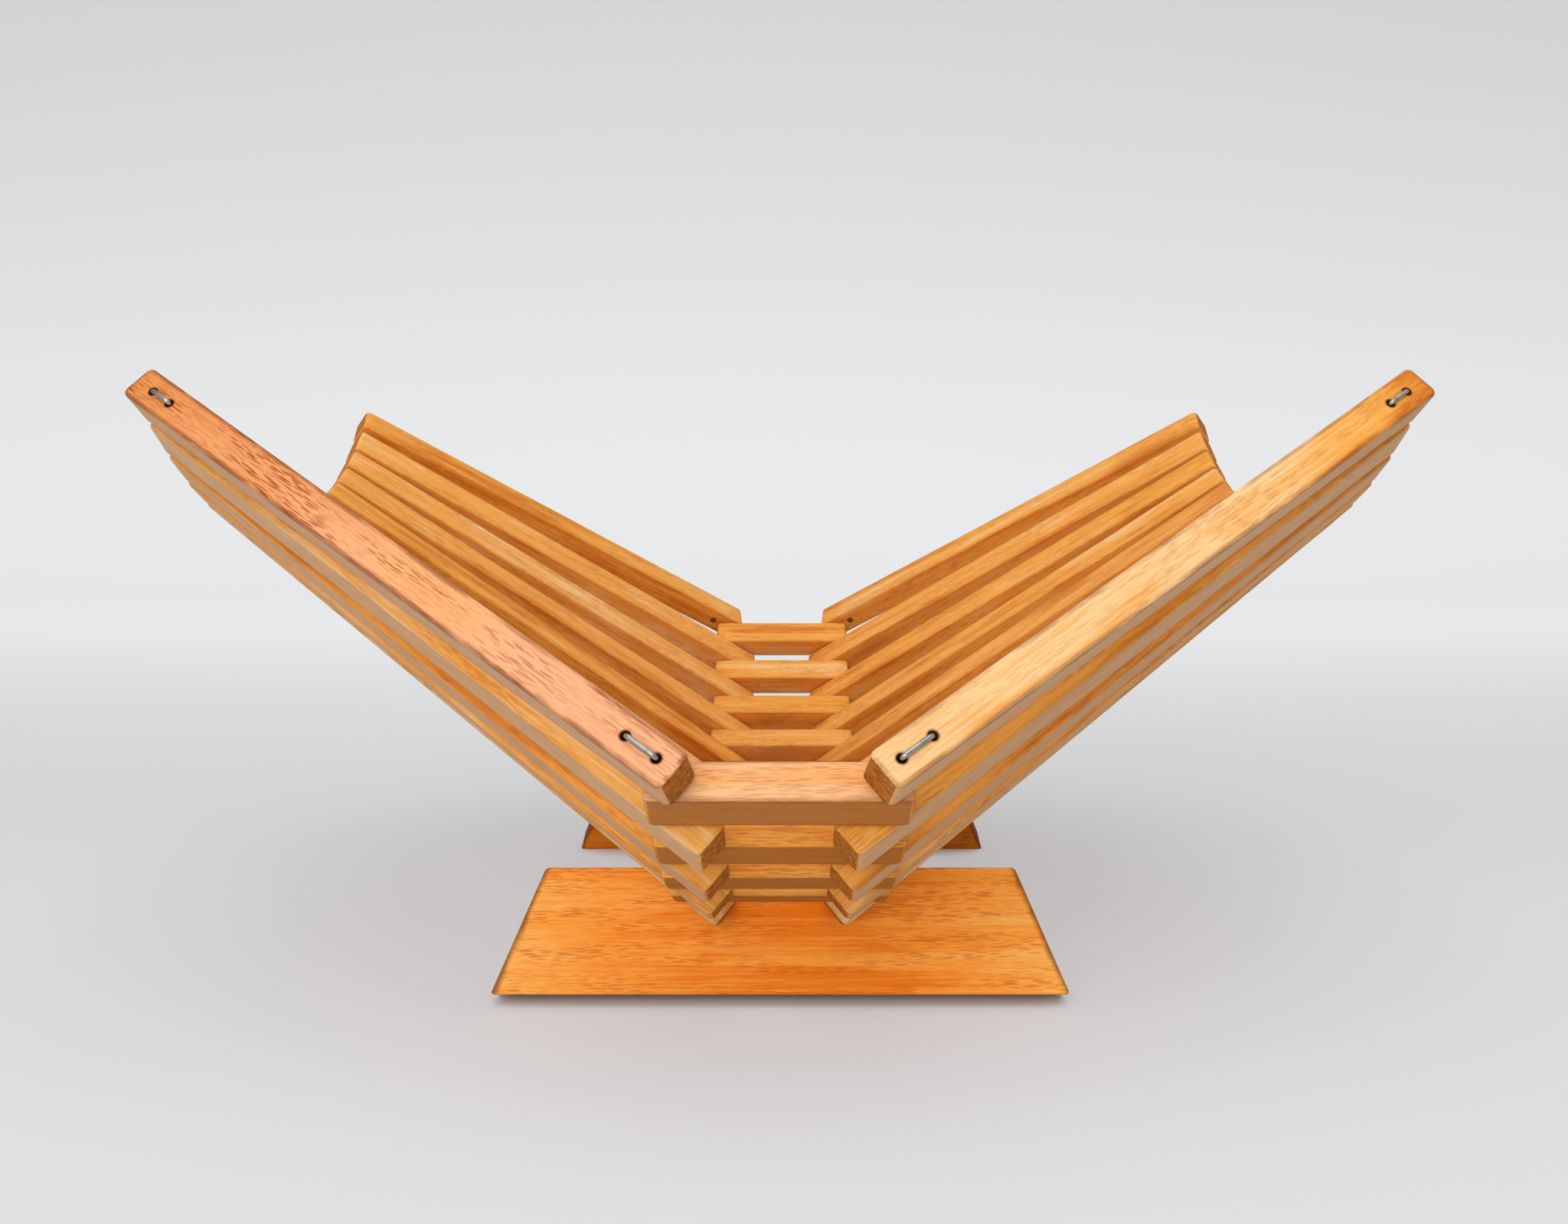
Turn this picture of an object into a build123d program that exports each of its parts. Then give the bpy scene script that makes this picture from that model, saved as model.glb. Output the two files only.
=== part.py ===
from build123d import *
import os
from math import acos, atan2, cos, degrees, hypot, radians, sin, tan

# A folding basket of beech slats threaded on four wires.
# Layers of short cross slats alternate with layers of long wing slats, one wing left and one right.
# The stack is twice as deep along the bottom as at the wing tips, so it fans out into a bowl.
# The frame stands on the floor: X runs from left to right, Y from front to back, Z up.
# The front half is built, and the back half and the left wings are its mirror images.

# Slats, millimetres
slat_thickness = 12.0
slat_width = 10.6
slat_corner_radius = 2.0
slat_edge_radius = 0.5
cross_slat_length = 62.0
end_wing_length = 198.0

# Open shape of the stack
wing_angle = 38.65
layer_clearance = 0.25
tip_gap = 0.8
end_wing_roll = 10.0
steps_per_side = 7
steps_to_foot = 3

# Foot plates
foot_height = 36.5
foot_top_length = 140.0
foot_base_length = 169.5
foot_top_radius = 2.0
foot_base_radius = 0.8
foot_facet = 1.0

# Holes, by their distance from the end of the slat that they are in
hole_diameter = 2.2
cross_hole_setback = 5.4
end_wing_hole_setback = 5.4
inner_wing_hole_setback = 13.0
tip_hole_setback = 15.1

# Wires, each with a stitch over the outermost slats and a tail in a blind hole
wire_diameter = 1.4
junction_stitch_length = 9.3
tip_stitch_length = 7.3
tail_length = 8.0
tail_clearance = 0.8
stitch_lift = 0.3
stitch_bend_radius = 1.6
wire_arc_share = 0.2

# Places within a layer: X along the cross slat, Y up the layer from the cross slat's inner edge
junction_x = cross_slat_length / 2 - cross_hole_setback
junction_up = -slat_width / 2
hole_span = end_wing_length - end_wing_hole_setback - tip_hole_setback
inner_wing_length = inner_wing_hole_setback + hole_span + tip_hole_setback

# The fan opens until neighbouring wing slats stand one tip gap apart at their upper inner corners
wing_reach = hole_span + tip_hole_setback
corner_up = junction_up + wing_reach * sin(radians(wing_angle)) + slat_width / 2 * cos(radians(wing_angle))
face_rise = slat_thickness + layer_clearance * 3 / 2
corner_distance = hypot(face_rise, corner_up)
fan_step = degrees(acos((tip_gap - layer_clearance / 2) / corner_distance) - atan2(corner_up, face_rise))


def outward(angle):
    """Direction out of the stack's front, for a layer that leans by this angle."""
    return Vector(0, -cos(radians(angle)), sin(radians(angle)))


def upward(angle):
    """Direction up a layer that leans by this angle."""
    return Vector(0, sin(radians(angle)), cos(radians(angle)))


def cell_angle(step):
    """Lean of a cell, which is a cross slat and the wing slats outside it."""
    return (step + 1 / 2) * fan_step


def cell_pivots(arris_height):
    """The points at the cross slats' inner edges on which the cells turn, from the centre outwards."""
    points = [Vector(0, -(slat_thickness + layer_clearance) / 2, arris_height)]
    depth = slat_thickness + layer_clearance
    for step in range(steps_per_side + 1):
        points.append(points[step] + outward(cell_angle(step)) * depth)
        depth = 2 * (slat_thickness + layer_clearance)
    return points


def foot_low_point():
    """Height of a foot plate's lower inner edge above the centre cross slat's inner edge."""
    angle = cell_angle(steps_to_foot)
    pivot = cell_pivots(0)[steps_to_foot]
    edge = pivot + outward(angle) * (layer_clearance / 2) - upward(angle) * foot_height
    return edge.Z


facet_depth = foot_facet * sin(radians(cell_angle(steps_to_foot))) * cos(radians(cell_angle(steps_to_foot)))
arris_height = -foot_low_point() - facet_depth
pivots = cell_pivots(arris_height)


def cross_offset():
    """Distance from a cell's pivot to its cross slat's inward face."""
    return layer_clearance / 2


def wing_offset(step):
    """Distance from a cell's pivot to its wing slats' inward face."""
    if step == 0:
        return layer_clearance / 2
    return layer_clearance / 2 + slat_thickness + layer_clearance


def layer_plane(step, offset):
    """Plane of a layer's inward face: X to the right, Y up the layer, Z outwards."""
    angle = cell_angle(step)
    return Plane(origin=pivots[step] + outward(angle) * offset, x_dir=(1, 0, 0), z_dir=outward(angle))


def layer_point(step, offset, across, up):
    """A point of the model, from its place in a layer."""
    return layer_plane(step, offset).from_local_coords(Vector(across, up, 0))


def inner_wing_location(step):
    """Place of an inner wing slat: X along it from its junction hole, Z outwards from its inward face."""
    in_layer = Pos(junction_x, junction_up, 0) * Rot(0, 0, wing_angle)
    return layer_plane(step, wing_offset(step)).location * in_layer


def end_wing_location():
    """Place of the outermost wing slat, rolled outwards on its lower inner edge."""
    roll = Pos(0, -slat_width / 2, 0) * Rot(end_wing_roll, 0, 0) * Pos(0, slat_width / 2, 0)
    return inner_wing_location(steps_per_side) * roll


def wing_point(step, along, height):
    """A point on a wing slat's middle line, by its distance from the junction hole and the inward face."""
    place = end_wing_location() if step == steps_per_side else inner_wing_location(step)
    return (place * Pos(along, 0, height)).position


def bar(length):
    """A slat along X with rounded corners and softened edges, its inward face on the XY plane."""
    solid = extrude(RectangleRounded(length, slat_width, slat_corner_radius), slat_thickness)
    long_edges = solid.faces().filter_by(Axis.Z).edges()
    return fillet(long_edges, slat_edge_radius)


def drill(depth):
    """A drill down from a slat's outward face."""
    return Pos(0, 0, slat_thickness - depth / 2) * Cylinder(hole_diameter / 2, depth)


def cross_holes():
    """Both junction holes of a cross slat or foot plate."""
    through = Pos(junction_x, junction_up, 0) * drill(slat_thickness)
    return [through, mirror(through, about=Plane.YZ)]


def cross_slat():
    """A cross slat with its two junction holes."""
    solid = Pos(0, -slat_width / 2, 0) * bar(cross_slat_length)
    for hole in cross_holes():
        solid = solid - hole
    return solid


def foot_plate():
    """A tapered plate that takes a cross slat's place in the stack and stands on the floor."""
    half_top = foot_top_length / 2
    half_base = foot_base_length / 2
    corners = [
        (-half_top, 0),
        (half_top, 0),
        (half_base, -foot_height),
        (-half_base, -foot_height),
    ]
    outline = make_face(Polyline(*corners, close=True))
    outline = fillet(outline.vertices().group_by(Axis.Y)[0], foot_base_radius)
    outline = fillet(outline.vertices().group_by(Axis.Y)[-1], foot_top_radius)
    solid = extrude(outline, slat_thickness)
    for hole in cross_holes():
        solid = solid - hole
    return solid


def wing_slat(length, setback, stitched):
    """A right wing slat along X, its junction hole at the origin and this far from its lower end."""
    solid = Pos(length / 2 - setback, 0, 0) * bar(length)
    solid = solid - drill(slat_thickness)
    solid = solid - Pos(hole_span, 0, 0) * drill(slat_thickness)
    if stitched:
        tail_hole = drill(tail_length + tail_clearance)
        solid = solid - Pos(junction_stitch_length, 0, 0) * tail_hole
        solid = solid - Pos(hole_span + tip_stitch_length, 0, 0) * tail_hole
    return solid


def crossings(along, with_cross):
    """Points where a wire passes from slat to slat, from the centre outwards."""
    points = []
    first_mouth = wing_point(0, along, 0)
    if with_cross:
        centre_mouth = Vector(first_mouth.X, -slat_thickness / 2, arris_height + junction_up)
        points.append((centre_mouth + first_mouth) / 2)
    else:
        points.append(Vector(first_mouth.X, 0, first_mouth.Z))
    for step in range(1, steps_per_side + 1):
        before = wing_point(step - 1, along, slat_thickness)
        after = wing_point(step, along, 0)
        if with_cross:
            cross_inner = layer_point(step, cross_offset(), junction_x, junction_up)
            cross_outer = layer_point(step, cross_offset() + slat_thickness, junction_x, junction_up)
            points.append((before + cross_inner) / 2)
            if step == steps_per_side:
                points.append((cross_outer + after) / 2)
        else:
            points.append((before + after) / 2)
    return points


def stitch_points(along, stitch_length):
    """The wire's way out of the outermost slat, over its face and into the blind hole."""
    crest = slat_thickness + wire_diameter / 2 + stitch_lift
    bottom = slat_thickness - tail_length
    return [
        wing_point(steps_per_side, along, crest),
        wing_point(steps_per_side, along + stitch_length, crest),
        wing_point(steps_per_side, along + stitch_length, bottom),
    ]


def route_points(along, stitch_length, with_cross):
    """The front half of a wire's route, from the middle of the basket outwards."""
    return crossings(along, with_cross) + stitch_points(along, stitch_length)


def corner_radius(before, corner, after):
    """Radius of the arc that eases a corner of the route."""
    turn = (corner - before).get_angle(after - corner)
    shorter_run = min((corner - before).length, (after - corner).length)
    return wire_arc_share * shorter_run / tan(radians(turn) / 2)


def whole_route(front_half, doubled_centre):
    """The whole route from the front tail to the back tail."""
    back_half = [Vector(point.X, -point.Y, point.Z) for point in front_half]
    start = 0 if doubled_centre else 1
    return front_half[::-1] + back_half[start:]


def wire(points):
    """A round wire along straight runs joined by tangent arcs, with tight bends at its two stitches."""
    radii = []
    last = len(points) - 1
    stitch_corners = (1, 2, last - 2, last - 1)
    for index in range(1, last):
        if index in stitch_corners:
            radii.append(stitch_bend_radius)
        else:
            radii.append(corner_radius(points[index - 1], points[index], points[index + 1]))
    route = FilletPolyline(*points, radius=radii)
    section = Plane(origin=route @ 0, z_dir=route % 0) * Circle(wire_diameter / 2)
    return sweep(section, path=route)


def junction_wire():
    """The right wire, through every cross slat, foot plate and right wing slat."""
    front_half = route_points(0, junction_stitch_length, True)
    return wire(whole_route(front_half, True))


def tip_wire():
    """The right wire through the wing slats' upper ends."""
    front_half = route_points(hole_span, tip_stitch_length, False)
    return wire(whole_route(front_half, False))


def back(solid):
    """The same piece in the back half."""
    return mirror(solid, about=Plane.XZ)


def left(solid):
    """The same piece on the left."""
    return mirror(solid, about=Plane.YZ)


def opposite(solid):
    """The same piece on the left of the back half, where half a turn about Z carries it."""
    return Rot(0, 0, 180) * solid


def build_pieces():
    """Every piece in its place, by name. Layers are numbered from front to back."""
    pieces = {}
    centre = steps_per_side + 1
    slat = cross_slat()
    foot = foot_plate()
    inner_wing = wing_slat(inner_wing_length, inner_wing_hole_setback, False)
    end_wing = wing_slat(end_wing_length, end_wing_hole_setback, True)
    middle_plane = Plane(
        origin=(0, slat_thickness / 2, arris_height),
        x_dir=(1, 0, 0),
        z_dir=outward(0),
    )
    pieces[f"cross_slat_{centre:02d}"] = middle_plane.location * slat
    for step in range(1, steps_per_side + 1):
        place = layer_plane(step, cross_offset()).location
        if step == steps_to_foot:
            plate = split(place * foot, bisect_by=Plane.XY, keep=Keep.TOP)
            pieces["front_foot_plate"] = plate
            pieces["back_foot_plate"] = back(plate)
        else:
            pieces[f"cross_slat_{centre - step:02d}"] = place * slat
            pieces[f"cross_slat_{centre + step:02d}"] = back(place * slat)
    for step in range(steps_per_side + 1):
        if step == steps_per_side:
            placed = end_wing_location() * end_wing
        else:
            placed = inner_wing_location(step) * inner_wing
        pieces[f"right_wing_slat_{centre - step:02d}"] = placed
        pieces[f"left_wing_slat_{centre - step:02d}"] = left(placed)
        pieces[f"right_wing_slat_{centre + 1 + step:02d}"] = back(placed)
        pieces[f"left_wing_slat_{centre + 1 + step:02d}"] = opposite(placed)
    pieces["right_junction_wire"] = junction_wire()
    pieces["left_junction_wire"] = left(pieces["right_junction_wire"])
    pieces["right_tip_wire"] = tip_wire()
    pieces["left_tip_wire"] = left(pieces["right_tip_wire"])
    return pieces


if __name__ == "__main__":
    os.makedirs("parts", exist_ok=True)
    for name, shape in build_pieces().items():
        export_step(shape, f"parts/{name}.step")
        print(name, round(shape.volume, 2))
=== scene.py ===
"""A folding basket of lacquered beech slats on four steel wires, on a pale studio floor."""

import logging
import math
import random
from dataclasses import dataclass
from enum import Enum
from typing import Any, Iterable, Iterator, Sequence

import bpy
import numpy as np
from mathutils import Matrix, Vector


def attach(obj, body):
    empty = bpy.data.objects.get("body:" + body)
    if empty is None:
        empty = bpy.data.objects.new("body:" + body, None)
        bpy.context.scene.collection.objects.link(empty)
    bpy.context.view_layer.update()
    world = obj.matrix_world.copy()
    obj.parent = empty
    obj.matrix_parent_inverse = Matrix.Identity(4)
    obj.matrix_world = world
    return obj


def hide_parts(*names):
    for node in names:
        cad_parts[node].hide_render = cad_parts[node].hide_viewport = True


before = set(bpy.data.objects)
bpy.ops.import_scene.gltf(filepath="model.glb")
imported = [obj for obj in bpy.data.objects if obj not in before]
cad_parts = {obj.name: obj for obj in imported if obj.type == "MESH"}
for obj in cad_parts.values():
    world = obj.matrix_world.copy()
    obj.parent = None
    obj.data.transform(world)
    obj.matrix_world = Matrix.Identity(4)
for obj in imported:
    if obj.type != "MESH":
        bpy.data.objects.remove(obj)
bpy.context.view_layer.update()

LOG = logging.getLogger("basket")
MM = 0.001
PILOT_DEPTH = 8.8 * MM
PILOT_OVERRUN = 0.2 * MM
Colour = tuple[float, float, float]
Triple = tuple[float, float, float]


def linear(red: int, green: int, blue: int) -> Colour:
    """A display colour, each part from 0 to 255, as a linear one."""
    shares = (part / 255 for part in (red, green, blue))
    return tuple(s / 12.92 if s <= 0.04045 else ((s + 0.055) / 1.055) ** 2.4 for s in shares)


class Value:
    """A socket's value, with arithmetic that adds Math nodes."""

    def __init__(self, maker: "Maker", socket: Any) -> None:
        """Keep the socket and the maker of its tree."""
        self.maker = maker
        self.socket = socket

    def math(self, operation: str, *others: Any, clamp: bool = False) -> "Value":
        """Add a Math node on further operands; clamp keeps the result between 0 and 1."""
        return self.maker.value(
            "ShaderNodeMath", {"operation": operation, "use_clamp": clamp},
            dict(enumerate((self, *others))),
        )

    def __add__(self, other: Any) -> "Value":
        """Sum."""
        return self.math("ADD", other)

    __radd__ = __add__

    def __sub__(self, other: Any) -> "Value":
        """Difference."""
        return self.math("SUBTRACT", other)

    def __rsub__(self, other: Any) -> "Value":
        """Difference from a number."""
        return (self * -1.0).math("ADD", other)

    def __mul__(self, other: Any) -> "Value":
        """Product."""
        return self.math("MULTIPLY", other)

    __rmul__ = __mul__

    def size(self) -> "Value":
        """Absolute value."""
        return self.math("ABSOLUTE")

    def high(self, other: Any) -> "Value":
        """The larger of two values."""
        return self.math("MAXIMUM", other)

    def clamp(self) -> "Value":
        """The value kept between 0 and 1."""
        return self.math("ADD", 0.0, clamp=True)

    def ramp(self, start: float, end: float) -> "Value":
        """Map the value smoothly to 0 at start and 1 at end."""
        rising = start < end
        return self.maker.value("ShaderNodeMapRange", {"interpolation_type": "SMOOTHSTEP"}, {
            "Value": self, "From Min": min(start, end), "From Max": max(start, end),
            "To Min": 0.0 if rising else 1.0, "To Max": 1.0 if rising else 0.0,
        })


class Maker:
    """Adds nodes to a shader or geometry tree and links them."""

    def __init__(self, tree: bpy.types.NodeTree) -> None:
        """Start with a tree."""
        self.tree = tree

    def node(self, kind: str, settings: dict[str, Any] | None = None,
             values: dict[Any, Any] | None = None) -> bpy.types.Node:
        """Add a node, set its properties first and then its sockets.

        Args:
            kind: The node's type.
            settings: Properties by name.
            values: Socket values or links, by socket name or number.

        Returns:
            The node.
        """
        node = self.tree.nodes.new(kind)
        for name, setting in (settings or {}).items():
            setattr(node, name, setting)
        for key, value in (values or {}).items():
            sources = value if isinstance(value, list) else [value]
            for source in sources:
                self.feed(node.inputs[key], source)
        return node

    def feed(self, socket: Any, source: Any) -> None:
        """Link a socket or set its value.

        Args:
            socket: The input socket.
            source: A Value, an output socket or a plain value.
        """
        if isinstance(source, Value):
            source = source.socket
        if isinstance(source, bpy.types.NodeSocket):
            self.tree.links.new(source, socket)
        else:
            socket.default_value = source

    def first(self, *given: Any) -> Any:
        """Add a node as above and return its first output."""
        return self.node(*given).outputs[0]

    def value(self, kind: str, settings: dict[str, Any], values: dict[Any, Any],
              output: Any = 0) -> Value:
        """Add a node and return one output as a Value."""
        return Value(self, self.node(kind, settings, values).outputs[output])

    def attribute(self, name: str, output: str = "Vector") -> Any:
        """Read a named attribute of the surface."""
        return self.node("ShaderNodeAttribute", {"attribute_name": name}).outputs[output]

    def scaled(self, vector: Any, scale: Triple) -> Any:
        """Multiply a vector by a scale for each axis."""
        return self.first("ShaderNodeVectorMath", {"operation": "MULTIPLY"}, {0: vector, 1: scale})

    def moved(self, vector: Any, offset: Any) -> Any:
        """Add an offset to a vector."""
        return self.first("ShaderNodeVectorMath", {"operation": "ADD"}, {0: vector, 1: offset})

    def parts(self, vector: Any) -> tuple[Value, Value, Value]:
        """Split a vector into its three values."""
        node = self.node("ShaderNodeSeparateXYZ", {}, {0: vector})
        return tuple(Value(self, output) for output in node.outputs)

    def mix(self, share: Any, first: Any, second: Any) -> Any:
        """Mix two colours.

        Args:
            share: The share of the second.
            first: The first colour or link.
            second: The second colour or link.

        Returns:
            The mixed colour's socket.
        """
        first, second = (
            (*source, 1.0) if isinstance(source, tuple) else source for source in (first, second)
        )
        values = {0: share, 6: first, 7: second}
        return self.node("ShaderNodeMix", {"data_type": "RGBA"}, values).outputs[2]


@dataclass(frozen=True)
class Pattern:
    """A noise: its cells for each metre along each axis, its character and how it is used.

    The mask rises from start to end of the noise, from its floor up by its weight. The swing
    is the noise about 0, times its weight.
    """

    scale: Triple
    detail: float = 2.0
    roughness: float = 0.5
    distortion: float = 0.0
    start: float = 0.0
    end: float = 1.0
    weight: float = 1.0
    floor: float = 0.0

    def read(self, make: Maker, place: Any) -> Value:
        """Add the noise at a place; it lies about 0.5."""
        return make.value("ShaderNodeTexNoise", {}, {
            "Vector": make.scaled(place, self.scale), "Scale": 1.0, "Detail": self.detail,
            "Roughness": self.roughness, "Distortion": self.distortion,
        })

    def shaped(self, noise: Value) -> Value:
        """Turn the noise that was read into the mask."""
        return noise.ramp(self.start, self.end) * self.weight + self.floor

    def mask(self, make: Maker, place: Any) -> Value:
        """The noise as a mask."""
        return self.shaped(self.read(make, place))

    def swing(self, make: Maker, place: Any) -> Value:
        """The noise about 0, as strong as its weight."""
        return (self.read(make, place) - 0.5) * self.weight


@dataclass(frozen=True)
class Strokes:
    """Short strokes along the grain, one in each cell, which thin out from narrow to wide."""

    scale: Triple
    wide: float
    narrow: float
    weight: float
    shift: Triple = (0.0, 0.0, 0.0)

    def mask(self, make: Maker, place: Any) -> Value:
        """The strokes as a mask."""
        cells = make.scaled(make.moved(place, self.shift), self.scale)
        return make.value("ShaderNodeTexVoronoi", {"feature": "F1"}, {
            "Vector": cells, "Scale": 1.0, "Randomness": 1.0,
        }, "Distance").ramp(self.wide, self.narrow) * self.weight


def new_material(name: str) -> tuple[bpy.types.Material, Maker, bpy.types.Node]:
    """Start a material.

    Args:
        name: The material's name.

    Returns:
        The material, the maker of its tree and its Principled shader.
    """
    material = bpy.data.materials.new(name)
    material.use_nodes = True
    tree = material.node_tree
    return material, Maker(tree), tree.nodes["Principled BSDF"]


def add_object(name: str, data: Any) -> bpy.types.Object:
    """Put a mesh, lamp or camera into the scene.

    Args:
        name: The object's name.
        data: What it holds.

    Returns:
        The object.
    """
    thing = bpy.data.objects.new(name, data)
    bpy.context.scene.collection.objects.link(thing)
    return thing


class Side(Enum):
    """The half of the basket: the front stands nearer to the camera."""

    FRONT = 1
    BACK = -1


class Hand(Enum):
    """The left or the right wing of a layer."""

    RIGHT = 1
    LEFT = -1


@dataclass(frozen=True)
class Fan:
    """Sizes of the open stack of slats, in metres and radians."""

    thickness: float = 12.0 * MM
    width: float = 10.6 * MM
    clearance: float = 0.25 * MM
    tip_gap: float = 0.8 * MM
    cross_length: float = 62.0 * MM
    end_wing_length: float = 198.0 * MM
    wing_lean: float = math.radians(38.65)
    end_wing_roll: float = math.radians(10.0)
    steps: int = 7
    steps_to_foot: int = 3
    foot_height: float = 36.5 * MM
    foot_facet: float = 1.0 * MM
    cross_setback: float = 5.4 * MM
    end_setback: float = 5.4 * MM
    inner_setback: float = 13.0 * MM
    tip_setback: float = 15.1 * MM
    junction_stitch: float = 9.3 * MM
    tip_stitch: float = 7.3 * MM

    @property
    def junction_x(self) -> float:
        """Distance of the lower holes from the middle."""
        return self.cross_length / 2 - self.cross_setback

    @property
    def pitch(self) -> float:
        """Distance from one layer of the stack to the next."""
        return self.thickness + self.clearance

    @property
    def hole_span(self) -> float:
        """Distance between a wing slat's lower and upper hole."""
        return self.end_wing_length - self.end_setback - self.tip_setback

    def setback(self, step: int) -> float:
        """Distance of a wing slat's lower hole from its lower end."""
        return self.end_setback if step == self.steps else self.inner_setback

    def wing_length(self, step: int) -> float:
        """Length of a wing slat; the outermost is the shortest."""
        return self.setback(step) + self.hole_span + self.tip_setback

    def stride(self, step: int) -> float:
        """Distance from a cell's pivot to the next."""
        return self.pitch if step == 0 else 2 * self.pitch

    @property
    def step_angle(self) -> float:
        """Angle between neighbouring cells, at which the tips just miss each other.

        Returns:
            The angle.
        """
        reach = self.hole_span + self.tip_setback
        half = self.width / 2
        corner = -half + reach * math.sin(self.wing_lean) + half * math.cos(self.wing_lean)
        rise = self.thickness + self.clearance * 1.5
        closing = math.acos((self.tip_gap - self.clearance / 2) / math.hypot(rise, corner))
        return closing - math.atan2(corner, rise)

    def lean(self, step: int) -> float:
        """Lean of a cell from upright."""
        return (step + 0.5) * self.step_angle

    @property
    def arris_height(self) -> float:
        """Height of the centre cross slat's inner edge above the floor.

        Returns:
            The height at which the foot plates' lower corners stand on the floor.
        """
        height = 0.0
        for inner in range(self.steps_to_foot):
            height += math.sin(self.lean(inner)) * self.stride(inner)
        lean = self.lean(self.steps_to_foot)
        height += math.sin(lean) * self.clearance / 2 - math.cos(lean) * self.foot_height
        return -height - self.foot_facet * math.sin(lean) * math.cos(lean)

    def bores(self, rise: float) -> dict[str, Triple]:
        """Where a cross layer is drilled, with its holes so far above its middle."""
        x, z = self.junction_x, self.thickness / 2
        return {"First Bore": (-x, rise, z), "Second Bore": (x, rise, z)}

    def cells(self) -> Iterator["Cell"]:
        """Every cell, from the middle out, first in front and then behind."""
        return (Cell(self, step, side) for side in Side for step in range(self.steps + 1))


@dataclass(frozen=True)
class Lay:
    """Where a slat lies: its middle on its inward face, and its three directions."""

    middle: Vector
    along: Vector
    across: Vector
    out: Vector

    def matrix(self) -> Matrix:
        """The lay as a matrix."""
        turn = Matrix((self.along, self.across, self.out)).transposed()
        return Matrix.Translation(self.middle) @ turn.to_4x4()

    def point(self, x: float, z: float) -> Vector:
        """A point of the basket from its place along the slat and out of it."""
        return self.middle + self.along * x + self.out * z


@dataclass(frozen=True)
class Cell:
    """A step of the fan on one side: a cross layer and the wing layer outside it."""

    fan: Fan
    step: int
    side: Side

    @property
    def ended(self) -> bool:
        """Whether this is the outermost cell."""
        return self.step == self.fan.steps

    @property
    def has_cross(self) -> bool:
        """Whether it has a cross layer; the two middle cells share the one in front."""
        return self.step > 0 or self.side is Side.FRONT

    @property
    def out(self) -> Vector:
        """Direction out of the stack."""
        lean = self.fan.lean(self.step)
        return Vector((0.0, -self.side.value * math.cos(lean), math.sin(lean)))

    @property
    def up(self) -> Vector:
        """Direction up a layer."""
        lean = self.fan.lean(self.step)
        return Vector((0.0, self.side.value * math.sin(lean), math.cos(lean)))

    @property
    def pivot(self) -> Vector:
        """Point at the cross slats' inner edges on which the cell turns.

        Returns:
            The point.
        """
        fan = self.fan
        point = Vector((0.0, -self.side.value * fan.pitch / 2, fan.arris_height))
        for inner in range(self.step):
            point += Cell(fan, inner, self.side).out * fan.stride(inner)
        return point

    @property
    def cross_body(self) -> str:
        """Name of its cross layer's body."""
        slat = f"cross_slat_{self.fan.steps + 1 - self.side.value * self.step:02d}"
        foot = f"{self.side.name.lower()}_foot_plate"
        return foot if self.step == self.fan.steps_to_foot else slat

    def wing_body(self, hand: Hand) -> str:
        """Name of a wing slat's body, numbered from the front."""
        layer = self.fan.steps + (1 - self.step if self.side is Side.FRONT else 2 + self.step)
        return f"{hand.name.lower()}_wing_slat_{layer:02d}"

    def cross_lay(self, drop: float) -> Lay:
        """Where its cross slat or foot plate lies.

        Args:
            drop: Distance from the pivot down to the piece's middle.

        Returns:
            Its lay.
        """
        fan, out, up = self.fan, self.out, self.up
        if self.step == 0:
            middle = Vector((0.0, fan.thickness / 2, fan.arris_height - drop))
            return Lay(middle, Vector((1, 0, 0)), Vector((0, 0, 1)), Vector((0, -1, 0)))
        return Lay(self.pivot + out * (fan.clearance / 2) - up * drop, up.cross(out), up, out)

    def wing_lay(self, hand: Hand) -> tuple[Lay, float]:
        """Where a wing slat lies, with its upper side towards the bowl.

        Args:
            hand: The left or right wing.

        Returns:
            Its lay, and 1 where its own X runs to its tip or -1 where it runs the other way.
        """
        fan, out, up = self.fan, self.out, self.up
        east = up.cross(out)
        turn = hand.value * self.side.value
        along = east * math.cos(fan.wing_lean) + up * (turn * math.sin(fan.wing_lean))
        across = out.cross(along)
        reach = fan.wing_length(self.step) / 2 - fan.setback(self.step)
        offset = fan.clearance / 2 + (0.0 if self.step == 0 else fan.pitch)
        middle = self.pivot + out * offset - up * (fan.width / 2)
        middle += east * (turn * fan.junction_x) + along * (turn * reach)
        if self.ended:
            cos, sin = math.cos(fan.end_wing_roll), math.sin(fan.end_wing_roll)
            rolled = across * cos + out * sin
            middle += (rolled - across) * (fan.width / 2)
            out = out * cos - across * sin
            across = rolled
        return Lay(middle, along, across, out), float(turn)

    def wing_bores(self, turn: float) -> dict[str, Triple]:
        """Where a wing slat is drilled; only the outermost have the blind pilot holes.

        Args:
            turn: 1 where the slat's own X runs to its tip, or -1.

        Returns:
            The holes' places by the names of the tree's inputs.
        """
        fan = self.fan
        near = -turn * (fan.wing_length(self.step) / 2 - fan.setback(self.step))
        far = near + turn * fan.hole_span
        middle = fan.thickness / 2
        bores = {"First Bore": (near, 0.0, middle), "Second Bore": (far, 0.0, middle)}
        if self.ended:
            pilot = fan.thickness - PILOT_DEPTH / 2 + PILOT_OVERRUN
            bores["First Pilot"] = (near + turn * fan.junction_stitch, 0.0, pilot)
            bores["Second Pilot"] = (far + turn * fan.tip_stitch, 0.0, pilot)
        return bores


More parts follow.
